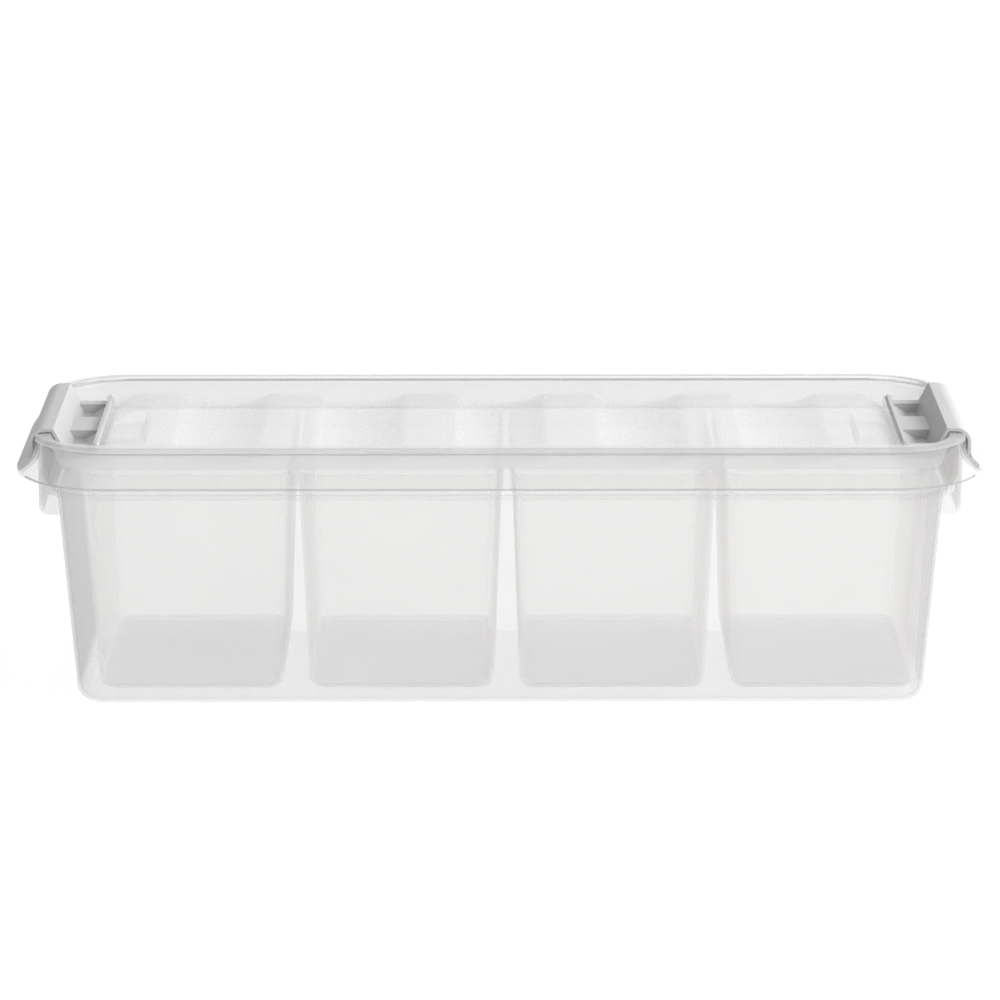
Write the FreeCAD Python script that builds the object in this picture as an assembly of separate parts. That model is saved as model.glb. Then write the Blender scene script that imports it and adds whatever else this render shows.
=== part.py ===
import FreeCAD, Part
import math
import os
from FreeCAD import Vector

# Long translucent box with a clipped lid and four loose compartments.
# Millimetres. The origin is the middle of the floor's underside, +X runs along the box,
# -Y is the front, +Z is up.

# Tub
floor_length = 440.0
floor_depth = 132.2
floor_corner_radius = 15.0
floor_edge_radius = 8.0
wall = 1.8
end_draft_deg = 4.2
side_draft_deg = 3.0
wall_corner_radius = 20.0
ledge_height = 114.8
ledge_width_end = 6.35
ledge_width_side = 3.2
rim_height_over_ledge = 24.0
rim_inner_radius = 24.0
rim_width_end = 9.5
rim_width_side = 5.5
bead_corner_radius = 42.0
skirt_drop = 18.2
skirt_flare_end = 7.5
skirt_flare_side = 6.0

# Hand grips under the skirt
grip_half_width = 45.0
grip_reach = 10.2
grip_below_ledge = 17.8
grip_corner_radius = 5.0

# Lid
bead_thickness = 2.6
bead_edge_radius = 2.0
lid_depth = 13.6
lid_sheet = 1.5
plug_wall = 1.6
plug_clearance = 1.1
plug_slope_end_deg = 18.8
plug_slope_side_deg = 33.0
ridge_count = 6
ridge_flat = 24.3
valley_rise = 1.0
ridge_rise = 4.8
end_bay = 49.0
end_slope_run = 13.0
recess_inset = 3.0
recess_half_width = 26.0
recess_outer_half_width = 19.0
recess_floor_rise = 1.6
recess_end_slope = 6.0

# Clips
clip_half_width = 48.5
clip_sheet = 1.6
clip_clearance = 0.4
clip_floor_sheet = 1.2
clip_floor_clearance = 0.4
leg_clearance = 0.7
leg_slope_deg = 28.0
clip_over_bead = 0.9
clip_channel = 4.9
clip_outer_radius = 8.0
clip_foot_drop = 8.6
lip_overhang = 7.5
lip_reach = 7.5
lip_seat_gap = 0.6
hinge_inset = 24.5
strip_thickness = 1.7
strip_height = 5.0
strip_over_ramp = 3.0
ramp_rise = 4.7
block_half_width = 14.0
end_rib_width = 7.3

# Hinge pins and lugs
pin_radius = 1.4
pin_clearance = 0.05
pin_length = 3.2
lug_thickness = 2.4
lug_wall = 1.0

# Inserts
insert_count = 4
insert_wall = 1.5
insert_gap = 3.4
insert_end_room = 9.5
insert_set_shift = 3.4
insert_side_clearance = 1.0
insert_rim_clearance = 0.7
insert_lid_clearance = 0.7
insert_floor_gap = 6.6
insert_shoulder = 1.0
insert_side_draft_deg = 2.1
insert_front_draft_deg = 4.1
insert_corner_radius = 11.0
insert_floor_corner_radius = 9.0
insert_edge_radius = 7.0

# Cutting tools reach this far past the faces that they open
OVER = 2.0


def tan(degrees):
    return math.tan(math.radians(degrees))


# Heights, from the floor up
rim_top = ledge_height + rim_height_over_ledge
skirt_bottom = rim_top - skirt_drop
bead_top = rim_top + bead_thickness
lid_low = bead_top - lid_depth
lid_under = lid_low - lid_sheet
valley_low = lid_low + valley_rise
ridge_top = valley_low + ridge_rise
clip_top = bead_top + clip_over_bead + clip_sheet
insert_top = lid_under - insert_lid_clearance

# Half sizes in plan, from the floor out
floor_x = floor_length / 2
floor_y = floor_depth / 2
wall_x = floor_x + ledge_height * tan(end_draft_deg)
wall_y = floor_y + ledge_height * tan(side_draft_deg)
bay_x = wall_x - wall
bay_y = wall_y - wall
rim_x = bay_x + ledge_width_end
rim_y = bay_y + ledge_width_side
bead_x = rim_x + rim_width_end
bead_y = rim_y + rim_width_side
flange_x = bead_x + skirt_flare_end
flange_y = bead_y + skirt_flare_side
flange_radius = bead_corner_radius + skirt_flare_side

# Lid stations along X on the right end, from the middle out
last_ridge = rim_x - end_bay
ridge_end = last_ridge + ridge_flat / 2
slope_foot = ridge_end + end_slope_run

# Clip stations along X on the right end, from the hinge out
hinge_x = rim_x - hinge_inset
clip_floor_under = lid_low + clip_floor_clearance
clip_floor = clip_floor_under + clip_floor_sheet
ramp_top = clip_floor + ramp_rise
strip_top = ramp_top + strip_over_ramp
hinge_z = strip_top - strip_height / 2
clip_wall_in = bead_x - clip_sheet
pocket_face = clip_wall_in - clip_sheet - clip_clearance
lip_top = rim_top - clip_foot_drop
lip_half_width = clip_half_width + lip_overhang


def plug_inner_x(z):
    """Inner face of the lid's plug wall at the ends."""
    return rim_x - plug_clearance - plug_wall - (rim_top - z) * tan(plug_slope_end_deg)


def plug_inner_y(z):
    """Inner face of the lid's plug wall at the front and back."""
    return rim_y - plug_clearance - plug_wall - (rim_top - z) * tan(plug_slope_side_deg)


def rounded_rectangle(half_x, half_y, radius, z):
    """Closed wire of four lines and four arcs at height z."""
    edges = []
    k = math.sqrt(0.5)
    corners = [(1, 1), (-1, 1), (-1, -1), (1, -1)]
    arcs = []
    for sx, sy in corners:
        cx = sx * (half_x - radius)
        cy = sy * (half_y - radius)
        on_x = Vector(cx + sx * radius, cy, z)
        on_y = Vector(cx, cy + sy * radius, z)
        middle = Vector(cx + sx * radius * k, cy + sy * radius * k, z)
        first, last = (on_x, on_y) if sx * sy > 0 else (on_y, on_x)
        arcs.append((first, middle, last))
    for i, (first, middle, last) in enumerate(arcs):
        edges.append(Part.Arc(first, middle, last).toShape())
        following = arcs[(i + 1) % len(arcs)][0]
        edges.append(Part.LineSegment(last, following).toShape())
    return Part.Wire(edges)


def tapered(low, high):
    """Solid between two rounded rectangles, each (half_x, half_y, radius, z)."""
    return Part.makeLoft([rounded_rectangle(*low), rounded_rectangle(*high)], True, True)


def block(x0, x1, y0, y1, z0, z1):
    return Part.makeBox(x1 - x0, y1 - y0, z1 - z0, Vector(x0, y0, z0))


def bar_along_y(edges, half_width):
    """Solid of a closed X-Z outline, centred on Y."""
    face = Part.Face(Part.Wire(edges))
    face.translate(Vector(0, -half_width, 0))
    return face.extrude(Vector(0, 2 * half_width, 0))


def lines_xz(points, closed=True):
    """Straight edges through (x, z) points."""
    corners = [Vector(x, 0, z) for x, z in points]
    if closed:
        corners.append(corners[0])
    return [Part.LineSegment(a, b).toShape() for a, b in zip(corners, corners[1:])]


def flat_edges(shape, z):
    """Edges that lie wholly at height z."""
    return [e for e in shape.Edges if abs(e.BoundBox.ZMin - z) < 1e-6 and abs(e.BoundBox.ZMax - z) < 1e-6]


def mirrored(shape):
    """The same shape on the left end."""
    return shape.mirror(Vector(0, 0, 0), Vector(1, 0, 0))


def both_ends(shape):
    return [shape, mirrored(shape)]


def skirt_recess(grow):
    """Space at the right end that the clip's wall and lip need, grown by a wall where asked."""
    face_x = pocket_face - grow
    seat = lip_seat_gap + grow
    # the lip's underside falls at 45 degrees from the foot of the clip's wall
    foot_x = clip_wall_in - seat * math.sqrt(2)
    foot_z = lip_top - clip_sheet * (math.sqrt(2) - 1)
    reach = flange_x + OVER
    drop_z = foot_z - (reach - foot_x)
    turn_z = foot_z + (foot_x - face_x)
    outline = [(face_x, bead_top + OVER), (face_x, turn_z), (reach, drop_z), (reach, bead_top + OVER)]
    return bar_along_y(lines_xz(outline), lip_half_width + clip_clearance + grow)


def make_grip():
    """U-shaped hand grip at the right end, hanging from the rim inside the skirt."""
    low_z = ledge_height - grip_below_ledge
    face_x = wall_x + grip_reach
    top_z = rim_top - wall / 2

    k = grip_corner_radius * (1 - math.sqrt(0.5))
    start = Vector(face_x - grip_corner_radius, 0, low_z)
    end = Vector(face_x, 0, low_z + grip_corner_radius)
    turn = Part.Arc(start, Vector(face_x - k, 0, low_z + k), end).toShape()
    rest = lines_xz([(end.x, end.z), (face_x, top_z), (floor_x, top_z), (floor_x, low_z), (start.x, start.z)],
                    closed=False)
    shell = bar_along_y([turn] + rest, grip_half_width)
    hollow = block(floor_x - OVER, face_x - wall, wall - grip_half_width, grip_half_width - wall,
                   low_z - OVER, rim_top - wall)
    return shell.cut(hollow)


def make_tub():
    shell = tapered((floor_x, floor_y, floor_corner_radius, 0),
                    (wall_x, wall_y, wall_corner_radius, ledge_height))
    shell = shell.makeFillet(floor_edge_radius, flat_edges(shell, 0))
    neck = tapered((rim_x + wall, rim_y + wall, rim_inner_radius + wall, ledge_height - wall),
                   (rim_x + wall, rim_y + wall, rim_inner_radius + wall, rim_top))
    flange = tapered((flange_x, flange_y, flange_radius, skirt_bottom),
                     (bead_x, bead_y, bead_corner_radius, rim_top))
    under = tapered((flange_x - wall, flange_y - wall, flange_radius - wall, skirt_bottom),
                    (bead_x - wall, bead_y - wall, bead_corner_radius - wall, rim_top - wall))
    for recess in both_ends(skirt_recess(0)):
        flange = flange.cut(recess)
    for recess in both_ends(skirt_recess(wall)):
        under = under.cut(recess)
    tub = flange.cut(under).fuse([shell, neck] + both_ends(make_grip()))
    bay = tapered((floor_x - wall, floor_y - wall, floor_corner_radius - wall, wall),
                  (bay_x, bay_y, wall_corner_radius - wall, ledge_height))
    bay = bay.makeFillet(floor_edge_radius - wall, flat_edges(bay, wall))
    mouth = tapered((rim_x, rim_y, rim_inner_radius, ledge_height),
                    (rim_x, rim_y, rim_inner_radius, rim_top + OVER))
    return tub.cut(bay.fuse(mouth)).removeSplitter()


def wave_chain(drop):
    """Edges of the lid panel's top line, left to right, lowered by drop."""
    pitch = 2 * last_ridge / (ridge_count - 1)
    half = ridge_flat / 2
    edge_x = rim_x + OVER
    high = ridge_top - drop
    low = lid_low - drop
    edges = lines_xz([(-edge_x, low), (-slope_foot, low), (-ridge_end, high)], closed=False)
    for i in range(ridge_count):
        x = -last_ridge + i * pitch
        edges += lines_xz([(x - half, high), (x + half, high)], closed=False)
        if i < ridge_count - 1:
            start = Vector(x + half, 0, high)
            middle = Vector(x + pitch / 2, 0, valley_low - drop)
            end = Vector(x + pitch - half, 0, high)
            edges.append(Part.Arc(start, middle, end).toShape())
    edges += lines_xz([(ridge_end, high), (slope_foot, low), (edge_x, low)], closed=False)
    return edges


def wave_sheet(low_z):
    """Solid under the panel's top line, down to the same line lowered by a sheet, or to low_z."""
    edge_x = rim_x + OVER
    top = wave_chain(0)
    if low_z is None:
        bottom = wave_chain(lid_sheet)
        base = lid_low - lid_sheet
    else:
        bottom = lines_xz([(-edge_x, low_z), (edge_x, low_z)], closed=False)
        base = low_z
    sides = lines_xz([(edge_x, lid_low), (edge_x, base)], closed=False)
    sides += lines_xz([(-edge_x, base), (-edge_x, lid_low)], closed=False)
    outline = Part.Wire(Part.__sortEdges__(top + sides + bottom))
    face = Part.Face(outline)
    face.translate(Vector(0, -bead_y, 0))
    return face.extrude(Vector(0, 2 * bead_y, 0))


def lid_recess(grow):
    """Scoop beside the right clip with sloped ends, grown by a sheet for the tray around it."""
    inner_x = last_ridge + recess_inset - grow
    recess_floor = lid_low + recess_floor_rise
    floor_z = recess_floor - grow
    high_z = ridge_top + OVER - grow

    def outline(z):
        inset = recess_end_slope * (ridge_top - grow - z) / (ridge_top - recess_floor)
        wide = recess_half_width + grow - inset
        narrow = recess_outer_half_width + grow - inset
        points = [(inner_x, -wide), (ridge_end, -wide), (slope_foot, -narrow),
                  (slope_foot, narrow), (ridge_end, wide), (inner_x, wide)]
        return Part.makePolygon([Vector(x, y, z) for x, y in points + points[:1]])

    return Part.makeLoft([outline(floor_z), outline(high_z)], True, True)


def hinge_lug():
    """Lid lug with the socket of one hinge pin, at the right end."""
    radius = pin_radius + pin_clearance + lug_wall
    start_y = clip_half_width + clip_clearance
    post = block(hinge_x - radius, hinge_x + radius, start_y, start_y + lug_thickness,
                 lid_low - lid_sheet / 2, hinge_z)
    crown = Part.makeCylinder(radius, lug_thickness, Vector(hinge_x, start_y, hinge_z), Vector(0, 1, 0))
    socket = Part.makeCylinder(pin_radius + pin_clearance, lug_thickness + 2 * OVER,
                               Vector(hinge_x, start_y - OVER, hinge_z), Vector(0, 1, 0))
    return post.fuse(crown).cut(socket)


def make_lid():
    def plug_radius(z):
        """Corner radius of the plug wall's inner face, which keeps its ends straight past the clip."""
        return rim_inner_radius - plug_clearance - plug_wall - (rim_top - z) * tan(plug_slope_side_deg)

    def plug(outset, low_z, high_z):
        def section(z):
            return plug_inner_x(z) + outset, plug_inner_y(z) + outset, plug_radius(z) + outset, z

        return tapered(section(low_z), section(high_z))

    bead = tapered((bead_x, bead_y, bead_corner_radius, rim_top),
                   (bead_x, bead_y, bead_corner_radius, bead_top))
    bead = bead.makeFillet(bead_edge_radius, flat_edges(bead, bead_top))
    bend_x = bead_x - clip_outer_radius
    clip_half = clip_half_width + clip_clearance
    lip_half = lip_half_width + clip_clearance
    notch = block(bend_x, flange_x, -clip_half, clip_half, rim_top - OVER, bead_top + OVER)
    lip_notch = block(pocket_face, flange_x, -lip_half, lip_half, rim_top - OVER, bead_top + OVER)
    for cutter in both_ends(notch.fuse(lip_notch)):
        bead = bead.cut(cutter)
    plug_solid = plug(plug_wall, lid_under, bead_top)
    ring = bead.fuse(plug_solid).cut(plug(0, lid_under - OVER, bead_top + OVER))

    below = wave_sheet(lid_under)
    panel = wave_sheet(None).fuse([tray.common(below) for tray in both_ends(lid_recess(lid_sheet))])
    for scoop in both_ends(lid_recess(0)):
        panel = panel.cut(scoop)
    panel = panel.common(plug_solid)

    lugs = []
    for lug in both_ends(hinge_lug()):
        lugs += [lug, lug.mirror(Vector(0, 0, 0), Vector(0, 1, 0))]
    return ring.fuse([panel] + lugs).removeSplitter()


def clip_profile():
    """Closed X-Z outline of the right clip's sheet."""
    strip_in = hinge_x - strip_thickness / 2
    strip_out = hinge_x + strip_thickness / 2
    across = clip_sheet / math.cos(math.radians(leg_slope_deg))

    def leg_out(z):
        return plug_inner_x(bead_top) - leg_clearance - (bead_top - z) * tan(leg_slope_deg)

    def leg_in(z):
        return leg_out(z) - across

    top_under = clip_top - clip_sheet
    floor_end = leg_in(clip_floor)
    floor_start = floor_end - clip_channel
    ramp_run = floor_start - strip_out
    ramp_drop = clip_sheet * math.hypot(ramp_run, ramp_rise) / ramp_run
    strip_bottom = strip_top - strip_height
    # the ramp's underside meets the strip's foot and the floor's underside
    under_x = strip_out + (ramp_top - ramp_drop - strip_bottom) * ramp_run / ramp_rise
    under_end = strip_out + (ramp_top - ramp_drop - clip_floor_under) * ramp_run / ramp_rise

    wall_out = bead_x
    wall_in = clip_wall_in
    centre_x = wall_out - clip_outer_radius
    centre_z = clip_top - clip_outer_radius
    k = math.sqrt(0.5)
    inner_radius = clip_outer_radius - clip_sheet
    tip_x = wall_out + lip_reach
    tip_z = lip_top - lip_reach
    foot_z = lip_top - clip_sheet * (math.sqrt(2) - 1)
    under_tip = (tip_x - clip_sheet * k, tip_z - clip_sheet * k)

    upper = lines_xz([(strip_in, strip_bottom), (strip_in, strip_top), (strip_out, strip_top),
                      (strip_out, ramp_top), (floor_start, clip_floor), (floor_end, clip_floor),
                      (leg_in(clip_top), clip_top), (centre_x, clip_top)], closed=False)
    bend = Part.Arc(Vector(centre_x, 0, clip_top),
                    Vector(centre_x + clip_outer_radius * k, 0, centre_z + clip_outer_radius * k),
                    Vector(wall_out, 0, centre_z)).toShape()
    outer = lines_xz([(wall_out, centre_z), (wall_out, lip_top), (tip_x, tip_z), under_tip, (wall_in, foot_z),
                      (wall_in, centre_z)], closed=False)
    inner_bend = Part.Arc(Vector(wall_in, 0, centre_z),
                          Vector(centre_x + inner_radius * k, 0, centre_z + inner_radius * k),
                          Vector(centre_x, 0, top_under)).toShape()
    lower = lines_xz([(centre_x, top_under), (leg_out(top_under), top_under),
                      (leg_out(clip_floor_under), clip_floor_under), (under_end, clip_floor_under),
                      (under_x, strip_bottom), (strip_in, strip_bottom)], closed=False)
    lip = lines_xz([(wall_out, lip_top), (tip_x, tip_z), under_tip, (wall_in, foot_z)])
    # the ribs and the centre block fill the channel up to the ramp's upper edge
    mid = (clip_floor + clip_floor_under) / 2
    filling = lines_xz([(strip_out, ramp_top), (leg_in(ramp_top), ramp_top),
                        (floor_end, mid), (floor_start, mid)])
    return upper + [bend] + outer + [inner_bend] + lower, lip, filling


def make_clip():
    """Right clip, closed."""
    sheet, lip, filling = clip_profile()
    clip = bar_along_y(sheet, clip_half_width)
    plan = tapered((flange_x, flange_y, flange_radius, 0),
                   (flange_x, flange_y, flange_radius, clip_top + OVER))
    clip = clip.fuse(bar_along_y(lip, lip_half_width)).common(plan)
    parts = [bar_along_y(filling, block_half_width)]
    for side in (-1, 1):
        rib = bar_along_y(filling, end_rib_width / 2)
        rib.translate(Vector(0, side * (clip_half_width - end_rib_width / 2), 0))
        parts.append(rib)
        start = Vector(hinge_x, side * (clip_half_width - pin_length), hinge_z)
        parts.append(Part.makeCylinder(pin_radius, 2 * pin_length, start, Vector(0, side, 0)))
    return clip.fuse(parts).removeSplitter()


def make_insert(centre_x):
    """One loose compartment, hanging by its shoulder on the tub's ledge."""
    bay_length = 2 * (bay_x - insert_end_room)
    rim_half_x = (bay_length - (insert_count - 1) * insert_gap) / insert_count / 2
    rim_half_y = rim_y - insert_rim_clearance
    body_x = rim_half_x - insert_shoulder
    body_y = bay_y - insert_side_clearance
    drop = ledge_height - insert_floor_gap
    low_x = body_x - drop * tan(insert_side_draft_deg)
    low_y = body_y - drop * tan(insert_front_draft_deg)
    t = insert_wall
    body = tapered((low_x, low_y, insert_floor_corner_radius, insert_floor_gap),
                   (body_x, body_y, insert_corner_radius - insert_shoulder, ledge_height))
    body = body.makeFillet(insert_edge_radius, flat_edges(body, insert_floor_gap))
    band = tapered((rim_half_x, rim_half_y, insert_corner_radius, ledge_height),
                   (rim_half_x, rim_half_y, insert_corner_radius, insert_top))
    hollow = tapered((low_x - t, low_y - t, insert_floor_corner_radius - t, insert_floor_gap + t),
                     (body_x - t, body_y - t, insert_corner_radius - insert_shoulder - t, ledge_height + t))
    hollow = hollow.makeFillet(insert_edge_radius - t, flat_edges(hollow, insert_floor_gap + t))
    mouth = tapered((rim_half_x - t, rim_half_y - t, insert_corner_radius - t, ledge_height + t),
                    (rim_half_x - t, rim_half_y - t, insert_corner_radius - t, insert_top + OVER))
    insert = body.fuse(band).cut(hollow.fuse(mouth)).removeSplitter()
    insert.translate(Vector(centre_x, 0, 0))
    return insert


def insert_centres():
    bay_length = 2 * (bay_x - insert_end_room)
    pitch = (bay_length + insert_gap) / insert_count
    return [insert_set_shift + (i - (insert_count - 1) / 2) * pitch for i in range(insert_count)]


def main():
    os.makedirs("parts", exist_ok=True)
    right = make_clip()
    pieces = {"tub": make_tub(), "lid": make_lid(), "clip_right": right, "clip_left": mirrored(right)}
    for number, centre in enumerate(insert_centres(), 1):
        pieces[f"insert_{number}"] = make_insert(centre)
    for name, shape in pieces.items():
        box = shape.BoundBox
        print(name, "solids", len(shape.Solids), "valid", shape.isValid(), "volume", round(shape.Volume),
              "size", round(box.XLength, 1), round(box.YLength, 1), round(box.ZLength, 1))
        shape.exportStep(f"parts/{name}.step")


main()
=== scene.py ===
import math

import bmesh
import bpy
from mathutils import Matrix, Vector


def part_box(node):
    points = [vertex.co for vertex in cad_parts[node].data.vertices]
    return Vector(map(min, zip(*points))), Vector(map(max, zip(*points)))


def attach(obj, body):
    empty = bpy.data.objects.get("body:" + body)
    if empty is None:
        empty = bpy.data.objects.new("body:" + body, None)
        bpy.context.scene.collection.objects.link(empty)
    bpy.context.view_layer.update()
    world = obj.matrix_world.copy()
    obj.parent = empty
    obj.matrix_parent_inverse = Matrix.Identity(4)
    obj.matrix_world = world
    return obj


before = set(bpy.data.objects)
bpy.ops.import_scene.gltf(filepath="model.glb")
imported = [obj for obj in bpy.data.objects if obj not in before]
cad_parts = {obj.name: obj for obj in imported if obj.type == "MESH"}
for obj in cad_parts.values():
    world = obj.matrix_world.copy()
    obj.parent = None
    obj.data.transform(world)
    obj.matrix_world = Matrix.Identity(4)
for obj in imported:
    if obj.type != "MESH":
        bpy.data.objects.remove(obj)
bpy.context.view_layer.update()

# Photographic view, in metres and degrees
VIEW_DISTANCE = 2.2644
VIEW_PITCH = 15.61
VIEW_TURN = 0.2
VIEW_NEAR = 0.1
VIEW_FAR = 50.0
AIM_HEIGHT = 0.09217
LENS = 154.3
SENSOR = 36.0

# Rounded plan of the bead and the skirt, in metres
BEAD_CORNER = 0.042
SKIRT_CORNER = 0.048
BEAD_HEIGHT = 0.0026
SKIRT_BOTTOM = 0.1206
CLIP_REACH = 0.058

# Parts of the tub and the inserts with a cloudiness of their own, in metres
GRIP_START = 0.2288
GRIP_TOP = 0.118
TUB_BOTTOM = 0.0025
INSERT_BOTTOM = 0.0106
GRIP_CLOUD = 3.6
TUB_BOTTOM_CLOUD = 0.6
# The insert bottoms are made cloudier and darker: painted shade on the insert floors
INSERT_BOTTOM_CLOUD = 1.5
INSERT_BOTTOM_PAINTED_SHADE = (0.64, 0.625, 0.65, 1.0)

# Darker tubes along edges, in metres: painted shade lines at the skirt's hem and the lid bead's upper edge,
# and a painted shadow in the parting at the rim
HEM = 0.001
RIM_EDGE = 0.0012
RIM_EDGE_DROP = 0.0008
RIM_FLARE = 0.0002
BEAD_EDGE = 0.0009
BEAD_EDGE_INSET = 0.00125
BEAD_EDGE_DROP = 0.0007
CORNER_STEPS = 16
ROLL_SIDES = 8

# Moulded edges, in metres and degrees
CLEAR_EDGE_RADIUS = 0.0004
CLIP_EDGE_RADIUS = 0.0005
EDGE_SEGMENTS = 2
EDGE_ANGLE = 25.0
FLAT_ANGLE = 0.5
WELD_REACH = 0.000005

# Plastic
PLASTIC_IOR = 1.49
NOISE_LOW = 0.3
NOISE_HIGH = 0.7
SLANT_LIMIT = 0.28
EDGE_ON_FROM = 0.78
BENT_TINT = (0.3, 0.29, 0.3, 1.0)
DEPTH_TINT = (0.6, 0.59, 0.59, 1.0)
GRAIN_DEPTH = 0.0002

# Studio, in metres and watts
FLOOR_HALF = 12.0
FLOOR_DROP = 0.0005
FLOOR_GREY = (0.12, 0.12, 0.12, 1.0)
FLOOR_ROUGHNESS = 0.9
GLOW_HALF = 0.3
GLOW_LEFT = 0.89
GLOW_RIGHT = 0.98
WHITE = (1.0, 1.0, 1.0, 1.0)
SURROUND_LEAN = (0.75, 0.0, -0.3)
SURROUND_LEVEL = 1.05
KEY_PLACE = (1.8, -0.7, 1.4)
KEY_AIM = (0, 0, 0.1)
KEY_WIDTH = 1.2
KEY_HEIGHT = 0.9
KEY_POWER = 42.0


def new_group(name, inputs, outputs):
    """Empty shader node group with float or colour sockets, and its input and output nodes."""
    group = bpy.data.node_groups.new(name, "ShaderNodeTree")
    for label, kind, value in inputs:
        socket = group.interface.new_socket(name=label, in_out="INPUT", socket_type=kind)
        socket.default_value = value
    for label, kind in outputs:
        group.interface.new_socket(name=label, in_out="OUTPUT", socket_type=kind)
    return group, group.nodes.new("NodeGroupInput"), group.nodes.new("NodeGroupOutput")


def add_node(tree, kind, settings=None, values=None):
    """Node with its properties and unlinked sockets set."""
    node = tree.nodes.new(kind)
    for key, value in (settings or {}).items():
        setattr(node, key, value)
    for key, value in (values or {}).items():
        node.inputs[key].default_value = value
    return node


def add_math(tree, operation, values=None, clamp=False):
    """Math node with its unlinked sockets set."""
    return add_node(tree, "ShaderNodeMath", {"operation": operation, "use_clamp": clamp}, values)


def add_noise_spread(group, detail):
    """Noise in the piece's own space, and the node that spreads its middle range."""
    place = add_node(group, "ShaderNodeTexCoord")
    noise = add_node(group, "ShaderNodeTexNoise", values={"Detail": detail})
    spread = add_node(group, "ShaderNodeMapRange", values={"From Min": NOISE_LOW, "From Max": NOISE_HIGH})
    group.links.new(place.outputs["Object"], noise.inputs["Vector"])
    group.links.new(noise.outputs["Fac"], spread.inputs["Value"])
    return noise, spread


def make_satin_group():
    """Fine spark-eroded grain of a moulded satin face: gloss and height from the same speckle."""
    group, given, made = new_group(
        "satin_grain",
        [("Grain Scale", "NodeSocketFloat", 900.0), ("Smooth", "NodeSocketFloat", 0.25),
         ("Rough", "NodeSocketFloat", 0.4)],
        [("Roughness", "NodeSocketFloat"), ("Height", "NodeSocketFloat")])
    link = group.links.new
    grain, spread = add_noise_spread(group, 0.0)
    link(given.outputs["Grain Scale"], grain.inputs["Scale"])
    link(given.outputs["Smooth"], spread.inputs["To Min"])
    link(given.outputs["Rough"], spread.inputs["To Max"])
    link(spread.outputs["Result"], made.inputs["Roughness"])
    link(grain.outputs["Fac"], made.inputs["Height"])
    return group


def make_milk_group():
    """Slow cloudiness of natural polypropylene: a tint and a density that drift over the wall."""
    group, given, made = new_group(
        "milky_flow",
        [("Clear", "NodeSocketColor", (0.9, 0.9, 0.9, 1.0)),
         ("Cloudy", "NodeSocketColor", (0.8, 0.8, 0.8, 1.0)),
         ("Flow Scale", "NodeSocketFloat", 5.0),
         ("Thin", "NodeSocketFloat", 0.97), ("Thick", "NodeSocketFloat", 1.15)],
        [("Color", "NodeSocketColor"), ("Density", "NodeSocketFloat")])
    link = group.links.new
    flow, spread = add_noise_spread(group, 1.0)
    tint = add_node(group, "ShaderNodeMix", {"data_type": "RGBA"})
    link(given.outputs["Flow Scale"], flow.inputs["Scale"])
    link(given.outputs["Thin"], spread.inputs["To Min"])
    link(given.outputs["Thick"], spread.inputs["To Max"])
    link(flow.outputs["Fac"], tint.inputs["Factor"])
    link(given.outputs["Clear"], tint.inputs["A"])
    link(given.outputs["Cloudy"], tint.inputs["B"])
    link(tint.outputs["Result"], made.inputs["Color"])
    link(spread.outputs["Result"], made.inputs["Density"])
    return group


def satin_plastic(name, grain_values, flow_values, bump_strength):
    """Moulded plastic with the satin grain and the milky flow: the material and its flow node."""
    material = bpy.data.materials.new(name)
    material.use_nodes = True
    tree = material.node_tree
    link = tree.links.new
    shader = tree.nodes["Principled BSDF"]
    shader.inputs["IOR"].default_value = PLASTIC_IOR
    grain = add_node(tree, "ShaderNodeGroup", {"node_tree": satin}, grain_values)
    flow = add_node(tree, "ShaderNodeGroup", {"node_tree": milk}, flow_values)
    bump = add_node(tree, "ShaderNodeBump", values={"Strength": bump_strength, "Distance": GRAIN_DEPTH})
    link(flow.outputs["Color"], shader.inputs["Base Color"])
    link(grain.outputs["Roughness"], shader.inputs["Roughness"])
    link(grain.outputs["Height"], bump.inputs["Height"])
    link(bump.outputs["Normal"], shader.inputs["Normal"])
    return material, flow


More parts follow.
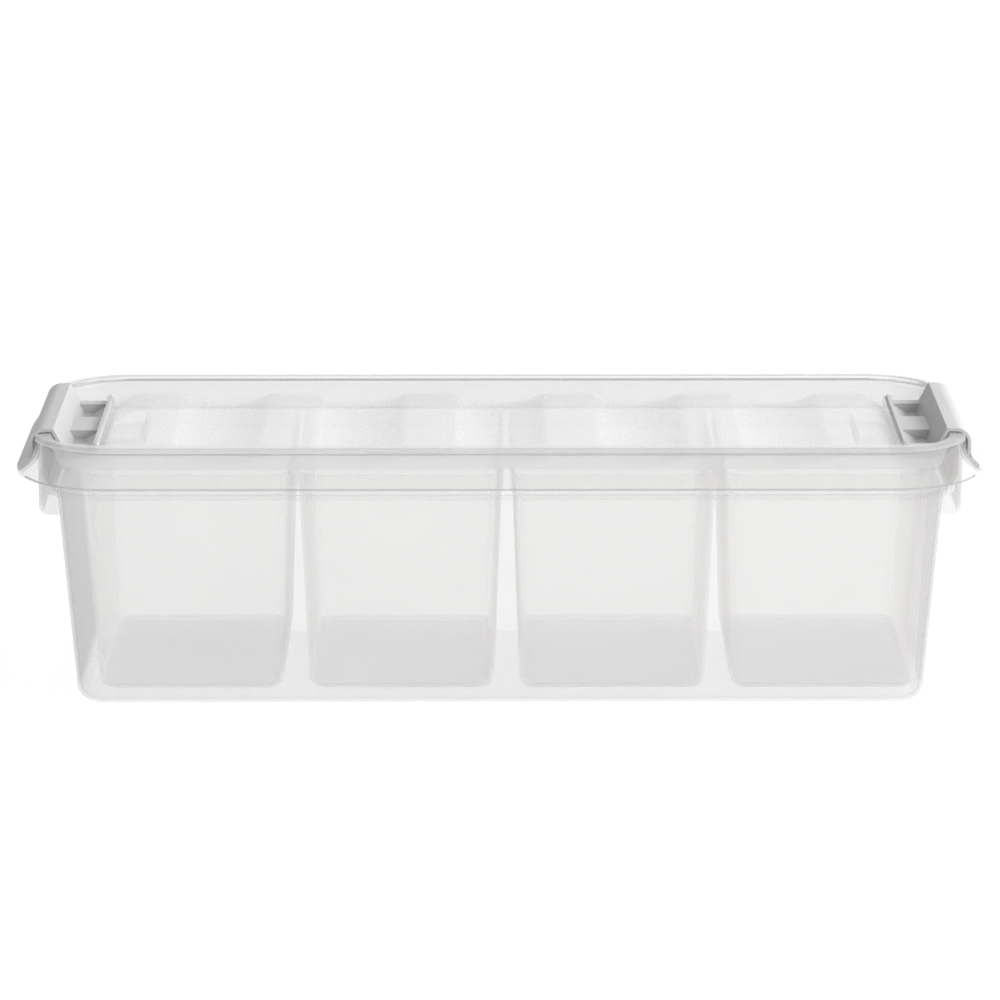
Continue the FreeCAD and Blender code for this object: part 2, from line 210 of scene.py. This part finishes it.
def translucent_plastic(name, clear, cloudy, haze, far_haze, smooth, rough, behind, bend, absorbed):
    """Milky see-through plastic: haze is what the near face of a wall hides, and far_haze its far face.

    A slanting view crosses more of the wall, so it hides more. The share behind of the haze is lit
    from the far side. Faces seen edge-on bend light away as glass does: bend is what they lose. The
    depth of the wall takes light too, absorbed per metre.
    """
    material, flow = satin_plastic(
        name, {"Grain Scale": 1400.0, "Smooth": smooth, "Rough": rough},
        {"Clear": clear, "Cloudy": cloudy, "Flow Scale": 7.0}, bump_strength=0.03)
    tree = material.node_tree
    link = tree.links.new
    shader = tree.nodes["Principled BSDF"]
    finished = tree.nodes["Material Output"]
    side = add_node(tree, "ShaderNodeNewGeometry")
    facing = add_node(tree, "ShaderNodeLayerWeight", values={"Blend": 0.5})

    # Way through the wall, longer at a slant
    square = add_node(tree, "ShaderNodeMapRange", values={"To Min": 1.0, "To Max": SLANT_LIMIT})
    way = add_math(tree, "DIVIDE", {0: 1.0})
    link(facing.outputs["Facing"], square.inputs["Value"])
    link(square.outputs["Result"], way.inputs[1])

    # What the cloudy wall hides, as the shader's alpha
    taken = add_node(tree, "ShaderNodeMapRange", values={"To Min": -haze, "To Max": -far_haze})
    passed = add_math(tree, "MULTIPLY_ADD", {2: 1.0})
    passed.name = "cloudiness"
    through = add_math(tree, "POWER")
    hidden = add_math(tree, "SUBTRACT", {0: 1.0}, clamp=True)
    link(side.outputs["Backfacing"], taken.inputs["Value"])
    link(flow.outputs["Density"], passed.inputs[0])
    link(taken.outputs["Result"], passed.inputs[1])
    link(passed.outputs["Value"], through.inputs[0])
    link(way.outputs["Value"], through.inputs[1])
    link(through.outputs["Value"], hidden.inputs[1])
    link(hidden.outputs["Value"], shader.inputs["Alpha"])

    # The share of the haze that is lit from behind, without the cloudiness
    even = add_node(tree, "ShaderNodeMapRange", values={"To Min": 1.0 - haze, "To Max": 1.0 - far_haze})
    even_through = add_math(tree, "POWER")
    even_hidden = add_math(tree, "SUBTRACT", {0: 1.0}, clamp=True)
    open_air = add_node(tree, "ShaderNodeBsdfTransparent")
    glow = add_node(tree, "ShaderNodeBsdfTranslucent", values={"Color": clear})
    lit_from_behind = add_node(tree, "ShaderNodeMixShader")
    both_sides = add_node(tree, "ShaderNodeMixShader", values={0: behind})
    link(side.outputs["Backfacing"], even.inputs["Value"])
    link(even.outputs["Result"], even_through.inputs[0])
    link(way.outputs["Value"], even_through.inputs[1])
    link(even_through.outputs["Value"], even_hidden.inputs[1])
    link(even_hidden.outputs["Value"], lit_from_behind.inputs[0])
    link(open_air.outputs["BSDF"], lit_from_behind.inputs[1])
    link(glow.outputs["BSDF"], lit_from_behind.inputs[2])
    link(shader.outputs["BSDF"], both_sides.inputs[1])
    link(lit_from_behind.outputs["Shader"], both_sides.inputs[2])

    # Light lost by faces seen edge-on, and by the depth of the wall
    edge_on = add_node(tree, "ShaderNodeMapRange",
                       values={"From Min": EDGE_ON_FROM, "From Max": 1.0, "To Max": bend})
    bent_away = add_node(tree, "ShaderNodeBsdfTransparent", values={"Color": BENT_TINT})
    edges = add_node(tree, "ShaderNodeMixShader")
    depth = add_node(tree, "ShaderNodeVolumeAbsorption", values={"Color": DEPTH_TINT, "Density": absorbed})
    link(facing.outputs["Facing"], edge_on.inputs["Value"])
    link(edge_on.outputs["Result"], edges.inputs[0])
    link(both_sides.outputs["Shader"], edges.inputs[1])
    link(bent_away.outputs["BSDF"], edges.inputs[2])
    link(edges.outputs["Shader"], finished.inputs["Surface"])
    link(depth.outputs["Volume"], finished.inputs["Volume"])
    return material


def split_place(tree):
    """Place on the piece, split into X, Y and Z."""
    place = add_node(tree, "ShaderNodeTexCoord")
    split = add_node(tree, "ShaderNodeSeparateXYZ")
    tree.links.new(place.outputs["Object"], split.inputs["Vector"])
    return split


def grip_mask(material):
    """One on the hand grips, which stand out past the tub's end walls under the skirt."""
    tree = material.node_tree
    link = tree.links.new
    split = split_place(tree)
    out = add_math(tree, "ABSOLUTE")
    past = add_math(tree, "GREATER_THAN", {1: GRIP_START})
    under = add_math(tree, "LESS_THAN", {1: GRIP_TOP})
    both = add_math(tree, "MULTIPLY")
    link(split.outputs["X"], out.inputs[0])
    link(out.outputs["Value"], past.inputs[0])
    link(split.outputs["Z"], under.inputs[0])
    link(past.outputs["Value"], both.inputs[0])
    link(under.outputs["Value"], both.inputs[1])
    return both.outputs["Value"]


def bottom_mask(material, top):
    """One on the bottom of the tub or an insert, below the height top."""
    tree = material.node_tree
    under = add_math(tree, "LESS_THAN", {1: top})
    tree.links.new(split_place(tree).outputs["Z"], under.inputs[0])
    return under.outputs["Value"]


def change_density(material, mask, times):
    """Makes the plastic so many times as cloudy where the mask is one."""
    tree = material.node_tree
    link = tree.links.new
    cloud = tree.nodes["cloudiness"].inputs[0]
    before = cloud.links[0].from_socket
    change = add_math(tree, "MULTIPLY_ADD", {1: times - 1.0, 2: 1.0})
    total = add_math(tree, "MULTIPLY")
    link(mask, change.inputs[0])
    link(change.outputs["Value"], total.inputs[0])
    link(before, total.inputs[1])
    link(total.outputs["Value"], cloud)


def paint_shade_colour(material, mask, shade):
    """Paints shade: multiplies the plastic's colour by a darker tint where the mask is one."""
    tree = material.node_tree
    base = tree.nodes["Principled BSDF"].inputs["Base Color"]
    before = base.links[0].from_socket
    shaded = add_node(tree, "ShaderNodeMix", {"data_type": "RGBA", "blend_type": "MULTIPLY"}, {"B": shade})
    tree.links.new(mask, shaded.inputs["Factor"])
    tree.links.new(before, shaded.inputs["A"])
    tree.links.new(shaded.outputs["Result"], base)


def dress(node, material, edge_radius):
    """Gives a CAD node its finish, and small moulded radii along its edges."""
    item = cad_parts[node]
    item.data.materials.clear()
    item.data.materials.append(material)
    item.data.shade_smooth()
    joined = item.modifiers.new("joined_faces", "WELD")
    joined.merge_threshold = WELD_REACH
    whole = item.modifiers.new("whole_faces", "DECIMATE")
    whole.decimate_type = "DISSOLVE"
    whole.angle_limit = math.radians(FLAT_ANGLE)
    soft = item.modifiers.new("moulded_edges", "BEVEL")
    soft.width = edge_radius
    soft.segments = EDGE_SEGMENTS
    soft.limit_method = "ANGLE"
    soft.angle_limit = math.radians(EDGE_ANGLE)
    even = item.modifiers.new("face_normals", "WEIGHTED_NORMAL")
    even.keep_sharp = False


def shade_line_tube(name, body, half_x, half_y, corner, height, thickness, material):
    """Thin dark tube round the front and the back of the rim, clear of the clips: a painted shade line along
    an edge.
    """
    centre_x = half_x - corner
    centre_y = half_y - corner
    first = math.asin((CLIP_REACH - centre_y) / corner)
    turns = [first + (math.pi / 2 - first) * step / CORNER_STEPS for step in range(CORNER_STEPS + 1)]
    path = [(1, turn) for turn in turns] + [(-1, turn) for turn in reversed(turns)]
    angles = [2 * math.pi * step / ROLL_SIDES for step in range(ROLL_SIDES)]
    shape = bmesh.new()
    for side in (-1, 1):
        rings = []
        for end, turn in path:
            across = Vector((end * math.cos(turn), side * math.sin(turn), 0))
            middle = Vector((end * centre_x, side * centre_y, height)) + across * corner
            spokes = [across * math.cos(angle) + Vector((0, 0, math.sin(angle))) for angle in angles]
            rings.append([shape.verts.new(middle + spoke * thickness / 2) for spoke in spokes])
        for near, far in zip(rings, rings[1:]):
            for step in range(ROLL_SIDES):
                after = (step + 1) % ROLL_SIDES
                shape.faces.new((near[step], near[after], far[after], far[step]))
        shape.faces.new(rings[0])
        shape.faces.new(rings[-1])
    bmesh.ops.recalc_face_normals(shape, faces=shape.faces)
    mesh = bpy.data.meshes.new(name)
    shape.to_mesh(mesh)
    shape.free()
    mesh.shade_smooth()
    mesh.materials.append(material)
    item = bpy.data.objects.new(name, mesh)
    bpy.context.scene.collection.objects.link(item)
    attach(item, body)


def make_shade_lines(material):
    """Painted shade lines as thin dark tubes: along the hem of the tub's skirt, a painted shadow in the
    parting at the rim's edge under the lid, and along the lid bead's round upper edge.
    """
    tub_x, tub_y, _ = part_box("tub")[1]
    lid_x, lid_y, bead_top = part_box("lid")[1]
    inset = HEM / 2
    shade_line_tube("skirt_hem_shade_line", "tub", tub_x - inset, tub_y - inset, SKIRT_CORNER - inset,
                SKIRT_BOTTOM + inset, HEM, material)
    inset = RIM_EDGE / 2 - RIM_FLARE
    shade_line_tube("parting_shadow_line", "tub", lid_x - inset, lid_y - inset, BEAD_CORNER - inset,
                bead_top - BEAD_HEIGHT - RIM_EDGE_DROP, RIM_EDGE, material)
    inset = BEAD_EDGE_INSET
    shade_line_tube("bead_edge_shade_line", "lid", lid_x - inset, lid_y - inset, BEAD_CORNER - inset,
                bead_top - BEAD_EDGE_DROP, BEAD_EDGE, material)


def make_floor():
    """Plain pale studio floor, out to well past the view and a little brighter on the right."""
    mesh = bpy.data.meshes.new("studio_floor")
    corners = [(-1, -1), (1, -1), (1, 1), (-1, 1)]
    mesh.from_pydata([(x * FLOOR_HALF, y * FLOOR_HALF, -FLOOR_DROP) for x, y in corners], [], [(0, 1, 2, 3)])
    floor = bpy.data.objects.new("studio_floor", mesh)
    bpy.context.scene.collection.objects.link(floor)
    material = bpy.data.materials.new("pale_floor")
    material.cycles.emission_sampling = "NONE"
    material.use_nodes = True
    tree = material.node_tree
    shader = tree.nodes["Principled BSDF"]
    shader.inputs["Base Color"].default_value = FLOOR_GREY
    shader.inputs["Roughness"].default_value = FLOOR_ROUGHNESS
    shader.inputs["Emission Color"].default_value = WHITE
    glow = add_node(tree, "ShaderNodeMapRange", values={"From Min": -GLOW_HALF, "From Max": GLOW_HALF,
                                                        "To Min": GLOW_LEFT, "To Max": GLOW_RIGHT})
    tree.links.new(split_place(tree).outputs["X"], glow.inputs["Value"])
    tree.links.new(glow.outputs["Result"], shader.inputs["Emission Strength"])
    mesh.materials.append(material)


def make_light(key_pieces):
    """Soft white surround, brighter on the right, and a key panel on the right for the grey clips."""
    world = bpy.data.worlds.new("studio")
    bpy.context.scene.world = world
    world.use_nodes = True
    world.cycles.sampling_method = "NONE"
    tree = world.node_tree
    link = tree.links.new
    backdrop = tree.nodes["Background"]
    place = add_node(tree, "ShaderNodeTexCoord")
    lean = add_node(tree, "ShaderNodeVectorMath", {"operation": "DOT_PRODUCT"}, {1: SURROUND_LEAN})
    surround = add_math(tree, "ADD", {1: SURROUND_LEVEL})
    link(place.outputs["Generated"], lean.inputs[0])
    link(lean.outputs["Value"], surround.inputs[0])
    link(surround.outputs["Value"], backdrop.inputs["Strength"])
    backdrop.inputs["Color"].default_value = WHITE

    lamp = bpy.data.lights.new("key_panel", "AREA")
    lamp.shape = "RECTANGLE"
    lamp.size = KEY_WIDTH
    lamp.size_y = KEY_HEIGHT
    lamp.energy = KEY_POWER
    panel = bpy.data.objects.new("key_panel", lamp)
    panel.location = KEY_PLACE
    panel.rotation_euler = (Vector(KEY_AIM) - panel.location).to_track_quat("-Z", "Y").to_euler()
    bpy.context.scene.collection.objects.link(panel)
    lit = bpy.data.collections.new("lit_by_key")
    for piece in key_pieces:
        lit.objects.link(piece)
    panel.light_linking.receiver_collection = lit


def make_camera():
    """Camera at the photograph's distance, height and slight turn."""
    data = bpy.data.cameras.new("photo_view")
    data.lens = LENS
    data.sensor_width = SENSOR
    data.clip_start = VIEW_NEAR
    data.clip_end = VIEW_FAR
    camera = bpy.data.objects.new("photo_view", data)
    pitch = math.radians(VIEW_PITCH)
    turn = math.radians(VIEW_TURN)
    back = Vector((-math.sin(turn) * math.cos(pitch), -math.cos(turn) * math.cos(pitch), math.sin(pitch)))
    camera.location = Vector((0, 0, AIM_HEIGHT)) + back * VIEW_DISTANCE
    camera.rotation_euler = (-back).to_track_quat("-Z", "Y").to_euler()
    bpy.context.scene.collection.objects.link(camera)
    bpy.context.scene.camera = camera


# Finishes
satin = make_satin_group()
milk = make_milk_group()
tub_finish = translucent_plastic(
    "tub_plastic", clear=(0.86, 0.853, 0.847, 1.0), cloudy=(0.82, 0.813, 0.807, 1.0),
    haze=0.16, far_haze=0.02, smooth=0.23, rough=0.29, behind=0.3, bend=0.3, absorbed=45.0)
lid_finish = translucent_plastic(
    "lid_plastic", clear=(0.96, 0.958, 0.96, 1.0), cloudy=(0.93, 0.928, 0.932, 1.0),
    haze=0.31, far_haze=0.02, smooth=0.23, rough=0.29, behind=0.1, bend=0.4, absorbed=28.0)
insert_finish = translucent_plastic(
    "insert_plastic", clear=(0.96, 0.953, 0.945, 1.0), cloudy=(0.94, 0.933, 0.925, 1.0),
    haze=0.21, far_haze=0.02, smooth=0.33, rough=0.39, behind=0.3, bend=0.05, absorbed=6.0)
# Darker plastic for the tubes that paint shade lines along edges and the shadow in the parting
shade_line_finish = translucent_plastic(
    "shade_line_plastic", clear=(0.52, 0.51, 0.52, 1.0), cloudy=(0.47, 0.46, 0.47, 1.0),
    haze=0.52, far_haze=0.03, smooth=0.23, rough=0.29, behind=0.2, bend=0.5, absorbed=60.0)
clip_finish, _ = satin_plastic(
    "clip_plastic", {"Grain Scale": 1600.0, "Smooth": 0.34, "Rough": 0.46},
    {"Clear": (0.48, 0.475, 0.475, 1.0), "Cloudy": (0.44, 0.435, 0.435, 1.0), "Flow Scale": 40.0},
    bump_strength=0.12)

# Frosted grips, a clearer tub bottom, and painted shade on the insert bottoms, which are made cloudier and
# darker
change_density(tub_finish, grip_mask(tub_finish), GRIP_CLOUD)
change_density(tub_finish, bottom_mask(tub_finish, TUB_BOTTOM), TUB_BOTTOM_CLOUD)
insert_floor_shade_mask = bottom_mask(insert_finish, INSERT_BOTTOM)
change_density(insert_finish, insert_floor_shade_mask, INSERT_BOTTOM_CLOUD)
paint_shade_colour(insert_finish, insert_floor_shade_mask, INSERT_BOTTOM_PAINTED_SHADE)

# Pieces
dress("tub", tub_finish, CLEAR_EDGE_RADIUS)
dress("lid", lid_finish, CLEAR_EDGE_RADIUS)
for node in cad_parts:
    if node.startswith("insert_"):
        dress(node, insert_finish, CLEAR_EDGE_RADIUS)
    if node.startswith("clip_"):
        dress(node, clip_finish, CLIP_EDGE_RADIUS)
# Thin dark tubes: painted shade lines along edges and a painted shadow in the parting
make_shade_lines(shade_line_finish)

# Studio
make_floor()
make_light([item for node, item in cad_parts.items() if node.startswith("clip_")])
make_camera()
scene = bpy.context.scene
scene.view_settings.view_transform = "Standard"
scene.cycles.transparent_max_bounces = 64
scene.cycles.max_bounces = 6
scene.cycles.diffuse_bounces = 3
scene.cycles.glossy_bounces = 3
